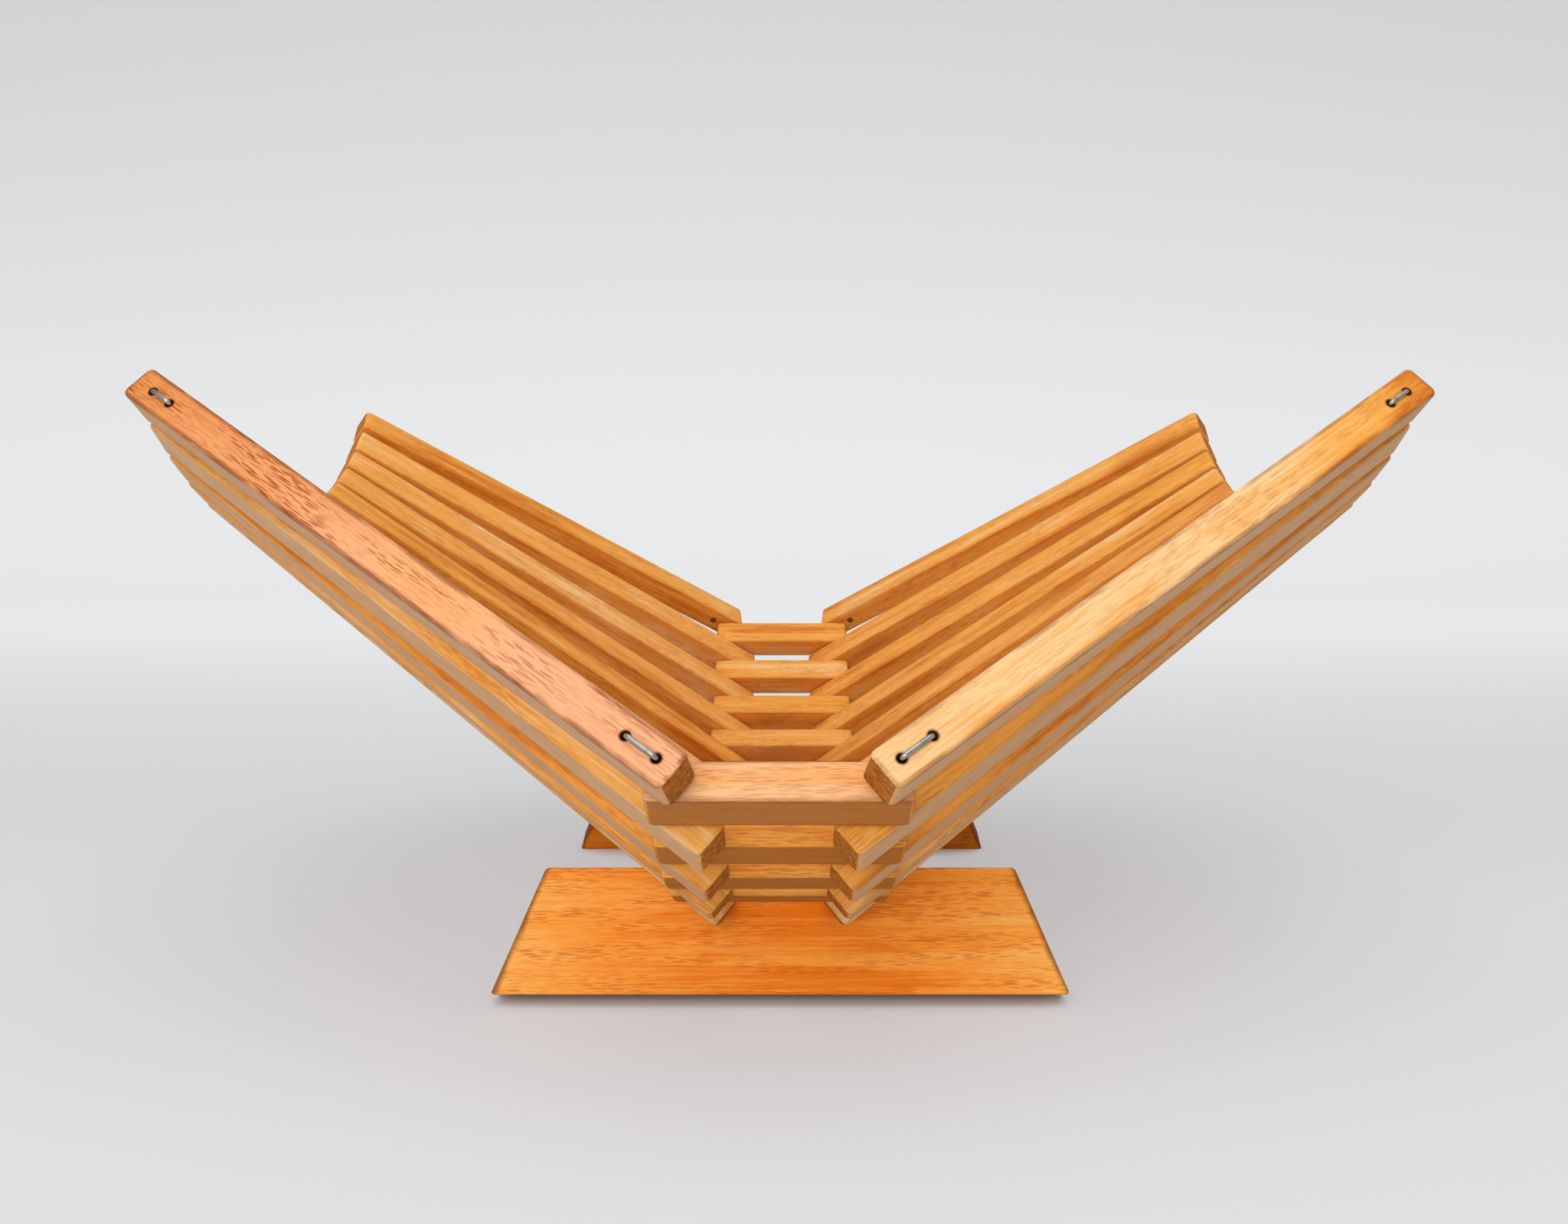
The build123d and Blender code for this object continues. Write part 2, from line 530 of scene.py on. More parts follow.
@dataclass(frozen=True)
class Blank:
    """A plate before it is drilled: an outline with a thickness and softened arrises.

    The seam is where its upper and lower half meet, as a share of its ends. Inside each arris
    runs a flat ring as wide as the margin, or narrower by the limit at a small base corner.
    """

    top_length: float
    base_length: float
    height: float
    thickness: float
    arris: float = 0.75 * MM
    edge_cuts: int = 66
    corner: float = 2.0 * MM
    base_corner: float = 2.0 * MM
    arc_steps: int = 6
    arris_steps: int = 4
    seam: float = 0.56
    flat_margin: float = 0.9 * MM
    flat_limit: float = 0.85

    def arc(self, corner: Vector, before: Vector, after: Vector, radius: float) -> list[Vector]:
        """Points of a rounded corner.

        Args:
            corner: The sharp corner.
            before: A point on the side that runs in.
            after: A point on the side that runs out.
            radius: The corner's radius.

        Returns:
            The arc's points in order.
        """
        inward, outward = (before - corner).normalized(), (after - corner).normalized()
        half = inward.angle(outward) / 2
        centre = corner + (inward + outward).normalized() * (radius / math.sin(half))
        reach = radius / math.tan(half)
        start, end = corner + inward * reach, corner + outward * reach
        first = math.atan2(*(start - centre).yx)
        sweep = math.atan2(*(end - centre).yx) - first
        sweep = (sweep + math.pi) % (2 * math.pi) - math.pi
        angles = (first + sweep * step / self.arc_steps for step in range(self.arc_steps + 1))
        return [centre + Vector((math.cos(angle), math.sin(angle))) * radius for angle in angles]

    def chains(self) -> tuple[list[Vector], list[Vector]]:
        """The outline in two halves, from left to right, with as many points each.

        Returns:
            The upper and the lower half.
        """
        def chain(half: float, height: float, far_half: float, far: float,
                  radius: float) -> list[Vector]:
            """One half of the outline.

            Args:
                half: Half of its side's length.
                height: Its side's height.
                far_half: Half of the other side's length.
                far: The other side's height.
                radius: Its corners' radius.

            Returns:
                Its points.
            """
            corners = [Vector((-half, height)), Vector((half, height))]
            ends = [Vector((-far_half, far)), Vector((far_half, far))]
            left = self.arc(corners[0], ends[0], corners[1], radius)
            right = self.arc(corners[1], corners[0], ends[1], radius)
            cuts = (cut / self.edge_cuts for cut in range(1, self.edge_cuts))
            inner = [left[-1].lerp(right[0], share) for share in cuts]
            first, last = (ends[i].lerp(corners[i], self.seam) for i in (0, 1))
            return [first, *left, *inner, *right, last]

        top, base, height = self.top_length / 2, self.base_length / 2, self.height / 2
        upper = chain(top, height, base, -height, self.corner)
        return upper, chain(base, -height, top, height, self.base_corner)

    def levels(self) -> list[Triple]:
        """The rings of points from the inward to the outward face.

        Returns:
            Each ring's inset, its height and how much it counts as an arris.
        """
        flat = min(self.arris + self.flat_margin, self.flat_limit * self.base_corner)
        bend = [math.pi / 2 * step / self.arris_steps for step in range(self.arris_steps + 1)]
        lower = [
            (self.arris * (1 - math.sin(turn)), self.arris * (1 - math.cos(turn)), 1.0)
            for turn in bend
        ]
        half = [(flat, 0.0, 0.0), *lower, (0.0, flat, 0.0)]
        upper = [(inset, self.thickness - height, share) for inset, height, share in half[::-1]]
        return half + upper

    def mesh(self, name: str) -> bpy.types.Mesh:
        """Build the plate, its inward face on the XY plane.

        Args:
            name: The mesh's name.

        Returns:
            The mesh, with an arris attribute on its points.
        """
        upper, lower = self.chains()
        outline = upper + lower[::-1]
        count, half = len(outline), len(upper)
        normals = []
        for index, point in enumerate(outline):
            ahead = (outline[(index + 1) % count] - point).normalized()
            behind = (point - outline[index - 1]).normalized()
            tangent = (ahead + behind).normalized()
            normals.append(Vector((-tangent.y, tangent.x)))
        vertices: list[Triple] = []
        arris: list[float] = []
        levels = self.levels()
        for inset, height, share in levels:
            for point, normal in zip(outline, normals):
                placed = point - normal * inset
                vertices.append((placed.x, placed.y, height))
                arris.append(share)
        faces: list[tuple[int, ...]] = []
        for ring in range(len(levels) - 1):
            for index in range(count):
                after = (index + 1) % count
                low, high = ring * count, (ring + 1) * count
                faces.append((low + index, high + index, high + after, low + after))
        last = (len(levels) - 1) * count
        inner = ((index, index + 1) for index in range(2, half - 3))
        for first, final in [(0, 2), *inner, (half - 3, half - 1)]:
            span = range(first, final + 1)
            face = [*span, *(count - 1 - index for index in reversed(span))]
            faces.append(tuple(face))
            faces.append(tuple(last + index for index in reversed(face)))
        mesh = bpy.data.meshes.new(name)
        mesh.from_pydata(vertices, [], faces)
        mesh.attributes.new("arris", "FLOAT", "POINT").data.foreach_set("value", arris)
        mesh.validate()
        mesh.update()
        return mesh


class Tree:
    """A geometry node tree with named inputs."""

    def __init__(self, name: str, inputs: dict[str, tuple[str, Any]]) -> None:
        """Start a tree.

        Args:
            name: The tree's name.
            inputs: Socket type and default for each input by name.
        """
        self.tree = bpy.data.node_groups.new(name, "GeometryNodeTree")
        self.tree.is_modifier = True
        interface = self.tree.interface
        for way in ("INPUT", "OUTPUT"):
            interface.new_socket(name="Geometry", in_out=way, socket_type="NodeSocketGeometry")
        self.keys: dict[str, str] = {}
        for label, (kind, default) in inputs.items():
            item = interface.new_socket(name=label, in_out="INPUT", socket_type=kind)
            if default is not None:
                item.default_value = default
            self.keys[label] = item.identifier
        self.make = Maker(self.tree)
        self.given = self.make.node("NodeGroupInput").outputs
        self.build()

    def build(self) -> None:
        """Add the tree's nodes."""
        raise NotImplementedError

    def finish(self, geometry: Any) -> None:
        """End the tree in Realize Instances and Set Material.

        Args:
            geometry: The geometry's socket.
        """
        real = self.make.first("GeometryNodeRealizeInstances", {}, {"Geometry": geometry})
        dressed = self.make.first("GeometryNodeSetMaterial", {}, {
            "Geometry": real, "Material": self.given["Finish"],
        })
        self.make.node("NodeGroupOutput", {}, {0: dressed})

    def smoothed(self, geometry: Any, angle: float) -> Any:
        """Shade smooth, but keep edges sharper than an angle.

        Args:
            geometry: The geometry's socket.
            angle: The angle in radians.

        Returns:
            The shaded geometry's socket.
        """
        smooth = self.make.first("GeometryNodeSetShadeSmooth", {"domain": "FACE"}, {
            "Geometry": geometry, "Shade Smooth": True,
        })
        turned = self.make.value("GeometryNodeInputMeshEdgeAngle", {}, {})
        sharp = turned.math("GREATER_THAN", angle)
        return self.make.first("GeometryNodeSetShadeSmooth", {"domain": "EDGE"}, {
            "Geometry": smooth, "Selection": sharp, "Shade Smooth": False,
        })

    def run(self, name: str, source: bpy.types.Mesh,
            settings: dict[str, Any]) -> bpy.types.Object:
        """Run the tree on a mesh and keep the result as a plain mesh.

        Args:
            name: The new piece's name.
            source: The mesh that the tree starts from.
            settings: The inputs' values by name.

        Returns:
            The piece at the origin, with no modifier.
        """
        holder = add_object(f"{name}_source", source)
        modifier = holder.modifiers.new("Shape", "NODES")
        modifier.node_group = self.tree
        for label, value in settings.items():
            modifier[self.keys[label]] = value
        bpy.context.view_layer.update()
        graph = bpy.context.evaluated_depsgraph_get()
        mesh = bpy.data.meshes.new_from_object(
            holder.evaluated_get(graph), preserve_all_data_layers=True, depsgraph=graph,
        )
        mesh.name = name
        holder.modifiers.remove(modifier)
        bpy.data.objects.remove(holder)
        return add_object(name, mesh)


class SlatTree(Tree):
    """Drills, wears and places a blank of wood."""

    WEAR_CELLS: Triple = (260.0, 420.0, 420.0)
    WEAR_DETAIL: float = 3.0
    DRILL_SIDES: int = 28
    SHARP: float = math.radians(38)

    def __init__(self) -> None:
        """Name the inputs."""
        zero = (0.0, 0.0, 0.0)
        super().__init__("drilled slat", {
            "Bore Radius": ("NodeSocketFloat", 1.25 * MM),
            "Bore Depth": ("NodeSocketFloat", 14.0 * MM),
            "First Bore": ("NodeSocketVector", zero),
            "Second Bore": ("NodeSocketVector", zero),
            "Pilot Depth": ("NodeSocketFloat", PILOT_DEPTH),
            "First Pilot": ("NodeSocketVector", zero),
            "Second Pilot": ("NodeSocketVector", zero),
            "Has Pilots": ("NodeSocketBool", False),
            "Wear": ("NodeSocketFloat", 0.09 * MM),
            "Seed": ("NodeSocketFloat", 0.0),
            "Place": ("NodeSocketVector", zero),
            "Turn": ("NodeSocketVector", zero),
            "Finish": ("NodeSocketMaterial", None),
        })

    def drills(self, depth: Any, names: Iterable[str]) -> list[Any]:
        """A drill of one depth at the place that each of these inputs holds."""
        rod = self.make.first("GeometryNodeMeshCylinder", {}, {
            "Vertices": self.DRILL_SIDES, "Radius": self.given["Bore Radius"], "Depth": depth,
        })
        return [self.make.first("GeometryNodeTransform", {}, {
            "Geometry": rod, "Translation": self.given[name],
        }) for name in names]

    def cut(self, solid: Any, tools: Any) -> Any:
        """Cut tools from a solid."""
        return self.make.first(
            "GeometryNodeMeshBoolean", {"operation": "DIFFERENCE", "solver": "EXACT"},
            {0: solid, 1: tools},
        )

    def noted(self, geometry: Any, name: str, domain: str, vector: Any) -> Any:
        """Store a vector under a name, for each point or face."""
        settings = {"data_type": "FLOAT_VECTOR", "domain": domain}
        return self.make.first("GeometryNodeStoreNamedAttribute", settings, {
            "Geometry": geometry, "Name": name, "Value": vector,
        })

    def worn(self, place: Any) -> Any:
        """The blank with its arrises rubbed unevenly.

        Args:
            place: Each point's place on the blank.

        Returns:
            The geometry's socket.
        """
        make, given = self.make, self.given
        arris = make.value(
            "GeometryNodeInputNamedAttribute", {"data_type": "FLOAT"}, {"Name": "arris"},
        )
        cells = make.moved(make.scaled(place, self.WEAR_CELLS), given["Seed"])
        chance = make.node("ShaderNodeTexNoise", {}, {
            "Vector": cells, "Scale": 1.0, "Detail": self.WEAR_DETAIL,
        }).outputs[1]
        push = make.first("ShaderNodeVectorMath", {"operation": "SCALE"}, {
            0: make.moved(chance, (-0.5, -0.5, -0.5)), "Scale": arris * Value(make, given["Wear"]),
        })
        return make.first("GeometryNodeSetPosition", {}, {
            "Geometry": given["Geometry"], "Offset": push,
        })

    def build(self) -> None:
        """Wear the arrises, drill the holes, note each point's place, and lay the piece.

        What the wear would push below the floor is set back on it.
        """
        make, given = self.make, self.given
        place = make.first("GeometryNodeInputPosition")
        bores = self.drills(given["Bore Depth"], ("First Bore", "Second Bore"))
        pilots = self.drills(given["Pilot Depth"], ("Second Pilot", "First Pilot"))
        drilled = self.cut(self.worn(place), bores)
        pricked = self.cut(drilled, make.first("GeometryNodeJoinGeometry", {}, {0: pilots}))
        chosen = make.first("GeometryNodeSwitch", {"input_type": "GEOMETRY"}, {
            "Switch": given["Has Pilots"], "False": drilled, "True": pricked,
        })
        facing = make.first("GeometryNodeInputNormal")
        marked = self.noted(self.noted(chosen, "lay", "POINT", place), "facing", "FACE", facing)
        laid = make.first("GeometryNodeTransform", {}, {
            "Geometry": marked, "Translation": given["Place"],
            "Rotation": make.first("FunctionNodeEulerToRotation", {}, {0: given["Turn"]}),
        })
        across, depth, height = make.parts(make.first("GeometryNodeInputPosition"))
        above = make.first("ShaderNodeCombineXYZ", {}, {0: across, 1: depth, 2: height.high(0.0)})
        standing = make.first("GeometryNodeSetPosition", {}, {"Geometry": laid, "Position": above})
        self.finish(self.smoothed(standing, self.SHARP))


class WireTree(Tree):
    """Bends a wire along the corners of a line."""

    BEND_STEPS: int = 8
    SIDES: int = 16
    SHARP: float = math.radians(50)

    def __init__(self) -> None:
        """Name the inputs."""
        super().__init__("bent wire", {
            "Wire Radius": ("NodeSocketFloat", 0.7 * MM),
            "Bend Radius": ("NodeSocketFloat", 1.4 * MM),
            "Finish": ("NodeSocketMaterial", None),
        })

    def build(self) -> None:
        """Round the line's corners and give it a round section."""
        make, given = self.make, self.given
        line = make.first("GeometryNodeMeshToCurve", {}, {"Mesh": given["Geometry"]})
        bent = make.first("GeometryNodeFilletCurve", {"mode": "POLY"}, {
            "Curve": line, "Count": self.BEND_STEPS, "Radius": given["Bend Radius"],
            "Limit Radius": True,
        })
        ring = make.first("GeometryNodeCurvePrimitiveCircle", {"mode": "RADIUS"}, {
            "Resolution": self.SIDES, "Radius": given["Wire Radius"],
        })
        tube = make.first("GeometryNodeCurveToMesh", {}, {
            "Curve": bent, "Profile Curve": ring, "Fill Caps": True,
        })
        self.finish(self.smoothed(tube, self.SHARP))


@dataclass(frozen=True)
class Tone:
    """How one piece of wood differs from the next, each from 0 to 1, at its upper end or all over.

    The middle shade and tone is added to deep at the piece's middle: painted shade of the bowl
    above on the foot plates, the wood's own tone along the wing slats.
    """

    deep: float
    blush: float
    flecks: float
    worn: float = 0.25
    low_deep: float | None = None
    low_blush: float | None = None
    low_flecks: float | None = None
    middle_shade_and_tone: float = 0.0

    def at(self, share: np.ndarray) -> np.ndarray:
        """The shade at points along the piece.

        Args:
            share: Each point's place, 0 at the lower end and 1 at the upper.

        Returns:
            Deep, blush and flecks for each point.
        """
        columns = []
        for low, high in ((self.low_deep, self.deep), (self.low_blush, self.blush),
                          (self.low_flecks, self.flecks)):
            low = high if low is None else low
            columns.append(low + (high - low) * share)
        # Deeper or paler at the middle: painted shade on the foot plates, tone along the wing
        # slats.
        columns[0] = columns[0] + self.middle_shade_and_tone * 4 * share * (1 - share)
        return np.stack(columns, 1).astype(np.float32)


@dataclass(frozen=True)
class Grain:
    """The patterns of sawn beech, from broad bands to fine flecks."""

    band: Pattern = Pattern((7.0, 120.0, 120.0), distortion=0.4, weight=1.1)
    blotch: Pattern = Pattern((34.0, 150.0, 150.0), distortion=0.6, weight=0.9)
    streak: Pattern = Pattern((22.0, 1100.0, 1100.0), 3.0, 0.6)
    patch: Pattern = Pattern((16.0, 60.0, 60.0), 1.0, start=0.3, end=0.7, weight=0.5, floor=0.6)
    gathered: Pattern = Pattern(
        (30.0, 260.0, 260.0), 1.0, start=0.4, end=0.62, weight=0.75, floor=0.25,
    )
    line: Pattern = Pattern((24.0, 2300.0, 2300.0), 1.0, start=0.6, end=0.72, weight=0.5)
    dash: Strokes = Strokes((105.0, 1250.0, 1250.0), 0.34, 0.16, 0.75)
    speck: Strokes = Strokes((190.0, 2300.0, 2300.0), 0.5, 0.26, 0.8, (0.37, 0.11, 0.23))
    saw: Pattern = Pattern((60.0, 1500.0, 700.0), 4.0, 0.7, start=0.35, end=0.7, weight=0.3)
    ring: Pattern = Pattern((500.0, 760.0, 620.0), 3.0, 0.65, start=0.35, end=0.7)
    broken: Pattern = Pattern((70.0, 300.0, 300.0), 3.0, start=0.28, end=0.6)
    ragged: Pattern = Pattern((160.0, 90.0, 90.0), 3.0, weight=3.0 * MM)
    fine: Pattern = Pattern((90.0, 2600.0, 2600.0))


@dataclass(frozen=True)
class BeechFinish:
    """Lacquered beech, honey orange, with dark ray flecks along the grain.

    The holes are their places along the piece. The taper is half the length of a plate at its
    middle, and how much its ends slant. At a hole, grime about its mouth and painted shade on the
    bore's walls run out from its darkest to its clean radius. What faces down is left raw from the
    saw, and so are the ends.
    """

    name: str
    holes: tuple[float, ...]
    pale: Colour = linear(240, 200, 140)
    honey: Colour = linear(235, 163, 70)
    deep: Colour = linear(208, 120, 32)
    fleck: Colour = linear(156, 66, 20)
    blush: Colour = linear(236, 168, 122)
    raw: Colour = linear(206, 166, 126)
    # Colour of the grime about the holes and of the shade painted on the bores' walls.
    dark: Colour = linear(84, 36, 12)
    edge: Colour = linear(112, 48, 18)
    end: Colour = linear(150, 80, 20)
    taper: tuple[float, float] | None = None
    grain: Grain = Grain()
    faces_down: tuple[float, float] = (0.55, 0.9)
    faces_end: tuple[float, float] = (0.72, 0.95)
    raw_share: float = 0.88
    raw_dash: float = 0.4
    end_honey: float = 0.4
    border_share: float = 0.75
    border_width: float = 2.4 * MM
    border_core: float = 0.2 * MM
    # Grime about each hole's mouth and painted shade inside its bore, from the darkest radius out
    # to the clean one.
    grime_and_hole_shade_share: float = 0.85
    clean_radius: float = 1.9 * MM
    darkest_radius: float = 1.2 * MM
    roughness: float = 0.46
    streak_rough: float = 0.16
    under_rough: float = 0.2
    end_rough: float = 0.25
    ray_rough: float = 0.1
    fine_height: float = 0.35
    ray_depth: float = 0.5
    ring_height: float = 0.9
    saw_height: float = 0.8
    specular: float = 0.12
    specular_tint: Colour = (1.0, 0.82, 0.6)
    bump_strength: float = 0.35
    bump_height: float = 0.12 * MM

    def material(self) -> bpy.types.Material:
        """Build the material.

        Returns:
            The material.
        """
        material, make, shader = new_material(self.name)
        grain = self.grain
        figure = make.attribute("figure")
        deep, blush, flecks = make.parts(make.attribute("tone"))
        x, y, _ = make.parts(make.attribute("lay"))
        along, across, _ = make.parts(make.attribute("facing"))
        arris = Value(make, make.attribute("arris", "Fac"))
        streak = grain.streak.swing(make, figure)
        saw = grain.saw.read(make, figure)
        ring = grain.ring.read(make, figure)
        dash = grain.dash.mask(make, figure)
        under = (across * -1.0).ramp(*self.faces_down)
        ends = along.size().ramp(*self.faces_end)

        share = deep + grain.band.swing(make, figure) + grain.blotch.swing(make, figure)
        share = (share + streak).clamp()
        colour = make.mix(share.ramp(0.0, 0.5), self.pale, self.honey)
        colour = make.mix(share.ramp(0.5, 1.0), colour, self.deep)
        patchy = blush * grain.patch.mask(make, figure)
        colour = make.mix(patchy.clamp(), colour, self.blush)

        rays = dash.high(grain.speck.mask(make, figure)).high(grain.line.mask(make, figure))
        rays = (rays * grain.gathered.mask(make, figure) * flecks).clamp()
        colour = make.mix(rays, colour, self.fleck)

        torn = grain.saw.shaped(saw).high(dash * self.raw_dash)
        colour = make.mix(under * self.raw_share, colour, make.mix(torn, self.raw, self.fleck))

        light_end = make.mix(self.end_honey, self.end, self.honey)
        sawn = make.mix(grain.ring.shaped(ring), self.end, light_end)
        colour = make.mix(ends, colour, sawn)

        rubbed = arris.ramp(0.0, 1.0) * grain.broken.mask(make, figure)
        colour = make.mix(rubbed.clamp(), colour, self.edge)
        if self.taper:
            middle_half, slope = self.taper
            gap = y * -slope + middle_half - x.size() + grain.ragged.swing(make, figure)
            border = gap.ramp(self.border_width, self.border_core) * self.border_share
            colour = make.mix(border, colour, self.edge)
        # Darken about each hole: grime on the face about its mouth, and painted shade on the bore's
        # walls within the darkest radius.
        for hole in self.holes:
            gap = ((x - hole) * (x - hole) + y * y).math("SQRT")
            grime_and_hole_shade = gap.ramp(self.clean_radius, self.darkest_radius) * self.grime_and_hole_shade_share
            colour = make.mix(grime_and_hole_shade, colour, self.dark)
        make.feed(shader.inputs["Base Color"], colour)

        rough = streak * self.streak_rough + under * self.under_rough + ends * self.end_rough
        rough = (rough + rays * self.ray_rough + self.roughness).clamp()
        make.feed(shader.inputs["Roughness"], rough)
        height = grain.fine.read(make, figure) * self.fine_height - rays * self.ray_depth
        height = height + ring * ends * self.ring_height + saw * under * self.saw_height
        make.feed(shader.inputs["Normal"], make.first("ShaderNodeBump", {}, {
            "Strength": self.bump_strength, "Distance": self.bump_height, "Height": height,
        }))
        shader.inputs["Specular IOR Level"].default_value = self.specular
        shader.inputs["Specular Tint"].default_value = (*self.specular_tint, 1.0)
        return material


@dataclass(frozen=True)
class WireFinish:
    """Dull drawn steel with a soft sheen."""

    steel: Colour = linear(166, 164, 154)
    tarnish: Colour = linear(82, 78, 66)
    stain: Pattern = Pattern((320.0, 320.0, 320.0), start=0.45, end=0.8, weight=0.6)
    roughness: float = 0.24
    stain_roughness: float = 0.25

    def material(self) -> bpy.types.Material:
        """Build the material.

        Returns:
            The material.
        """
        material, make, shader = new_material("dull_steel_wire")
        place = make.node("ShaderNodeTexCoord").outputs["Object"]
        stain = self.stain.mask(make, place)
        make.feed(shader.inputs["Base Color"], make.mix(stain, self.steel, self.tarnish))
        make.feed(shader.inputs["Roughness"], stain * self.stain_roughness + self.roughness)
        shader.inputs["Metallic"].default_value = 1.0
        return material


class Workshop:
    """Shapes, places and dresses pieces of wood and wire."""

    SEED: int = 20
    TILT: float = 0.012
    SHIFT: float = 2.0

    def __init__(self, fan: Fan) -> None:
        """Build the trees and the wire's finish.

        Args:
            fan: The stack of slats.
        """
        self.fan = fan
        self.slats = SlatTree()
        self.wires = WireTree()
        self.steel = WireFinish().material()
        self.random = random.Random(self.SEED)

    def any_tone(self, lightest: float, deepest: float) -> Tone:
        """Draw a tone for a slat that isn't in front."""
        draw = self.random.uniform
        return Tone(draw(lightest, deepest), draw(0.0, 0.12), 0.5)

    def wood(self, node: str, blank: Blank, lay: Lay, finish: bpy.types.Material, tone: Tone,
             holes: dict[str, Triple]) -> bpy.types.Object:
        """Make one piece of wood.

        Args:
            node: The node that it stands for, which is also its body.
            blank: The undrilled plate.
            lay: Where it lies.
            finish: Its material.
            tone: Its shade.
            holes: The holes' places by the names of the tree's inputs.

        Returns:
            The piece.
        """
        name, matrix = f"wood_{node}", lay.matrix()
        piece = self.slats.run(name, blank.mesh(name), {
            **holes, "Has Pilots": "First Pilot" in holes, "Seed": self.random.uniform(0, 100),
            "Place": tuple(matrix.to_translation()), "Turn": tuple(matrix.to_euler("XYZ")),
            "Finish": finish,
        })
        self.mark(piece.data, tone, 1.0 if matrix.col[0].z >= 0 else -1.0)
        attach(piece, node)
        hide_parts(node)
        return piece

    def mark(self, mesh: bpy.types.Mesh, tone: Tone, tip_sign: float) -> None:
        """Store the piece's tone, and its own cut of the grain's figure.

        Args:
            mesh: The piece's mesh.
            tone: Its shade.
            tip_sign: 1 where the piece's own X runs to its upper end, or -1.
        """
        count = len(mesh.vertices)
        lay, arris = np.zeros(count * 3, np.float32), np.zeros(count, np.float32)
        mesh.attributes["lay"].data.foreach_get("vector", lay)
        mesh.attributes["arris"].data.foreach_get("value", arris)
        mesh.attributes["arris"].data.foreach_set("value", arris * tone.worn)
        x, y, z = lay.reshape(-1, 3).T
        turn = self.random.uniform(0, math.pi)
        tilt = self.random.uniform(-self.TILT, self.TILT)
        offset = [self.random.uniform(-self.SHIFT, self.SHIFT) for _ in range(3)]
        cos, sin = math.cos(turn), math.sin(turn)
        figure = np.stack([x, y * cos - z * sin + x * tilt, y * sin + z * cos], 1)
        shade = tone.at(x * tip_sign / (2 * float(np.abs(x).max())) + 0.5)
        for name, rows in (("figure", figure + np.array(offset)), ("tone", shade)):
            layer = mesh.attributes.new(name, "FLOAT_VECTOR", "POINT")
            layer.data.foreach_set("vector", rows.astype(np.float32).ravel())

    def wire(self, body: str, runs: Iterable[Sequence[Vector]]) -> bpy.types.Object:
        """Make the wire that goes through one slat.

        Args:
            body: The body that it rides on.
            runs: The corners of each length of wire.

        Returns:
            The piece.
        """
        name = f"wire_{body}"
        vertices: list[Vector] = []
        edges: list[tuple[int, int]] = []
        for run in runs:
            first = len(vertices)
            vertices.extend(run)
            edges.extend((index, index + 1) for index in range(first, len(vertices) - 1))
        line = bpy.data.meshes.new(f"{name}_line")
        line.from_pydata([tuple(vertex) for vertex in vertices], edges, [])
        piece = self.wires.run(name, line, {"Finish": self.steel})
        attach(piece, body)
        return piece


@dataclass
class Assembly:
    """Pieces that one shop makes."""

    shop: Workshop

    def build(self) -> Iterator[bpy.types.Object]:
        """Make the pieces, one by one."""
        raise NotImplementedError


@dataclass
class CrossSlats(Assembly):
    """The short slats along the bottom of the bowl."""

    edge_cuts: int = 22
    raw: Colour = linear(168, 102, 36)
    near_tone: Tone = Tone(0.36, 0.55, 0.5, 0.4)

    def build(self) -> Iterator[bpy.types.Object]:
        """Make every cross slat.

        Returns:
            The pieces, one by one.
        """
        fan, length = self.shop.fan, self.shop.fan.cross_length
        blank = Blank(length, length, fan.width, fan.thickness, edge_cuts=self.edge_cuts)
        reach = fan.junction_x
        finish = BeechFinish("beech_cross_slats", (-reach, reach), raw=self.raw).material()
        for cell in fan.cells():
            if cell.step == fan.steps_to_foot or not cell.has_cross:
                continue
            tone = self.shop.any_tone(0.4, 0.75)
            if cell.ended and cell.side is Side.FRONT:
                tone = self.near_tone
            lay = cell.cross_lay(fan.width / 2)
            yield self.shop.wood(cell.cross_body, blank, lay, finish, tone, fan.bores(0.0))


@dataclass
class FootPlates(Assembly):
    """The two tapered plates on which the basket stands."""

    top_length: float = 140.0 * MM
    base_length: float = 169.5 * MM
    arris: float = 0.4 * MM
    edge_cuts: int = 60
    base_corner: float = 0.8 * MM

    def build(self) -> Iterator[bpy.types.Object]:
        """Make both plates, the front one bright orange and the back one in deeper colours that
        paint the shade it stands in under the bowl.

        Returns:
            The pieces, one by one.
        """
        fan, half = self.shop.fan, self.shop.fan.foot_height / 2
        blank = Blank(
            self.top_length, self.base_length, fan.foot_height, fan.thickness, self.arris,
            self.edge_cuts, base_corner=self.base_corner,
        )
        slope = (self.base_length - self.top_length) / 2 / fan.foot_height
        taper = ((self.top_length + self.base_length) / 4, slope)
        # Tone and colours (pale, honey, deep, fleck) for each side. The back plate's deeper tone
        # and colours, and both plates' darker middles, are painted shade.
        for side, tone, colours in (
            (Side.FRONT, Tone(0.12, 0.0, 0.75, middle_shade_and_tone=0.65),
             ((255, 182, 90), (255, 160, 60), (240, 124, 16), (196, 88, 20))),
            (Side.BACK, Tone(0.25, 0.0, 0.8, middle_shade_and_tone=0.75),
             ((226, 134, 36), (210, 114, 22), (174, 84, 8), (150, 66, 14))),
        ):
            cell = Cell(fan, fan.steps_to_foot, side)
            finish = BeechFinish(
                f"beech_{side.name.lower()}_foot", (), *(linear(*colour) for colour in colours),
                taper=taper,
            ).material()
            yield self.shop.wood(
                cell.cross_body, blank, cell.cross_lay(half), finish, tone,
                fan.bores(half - fan.width / 2),
            )


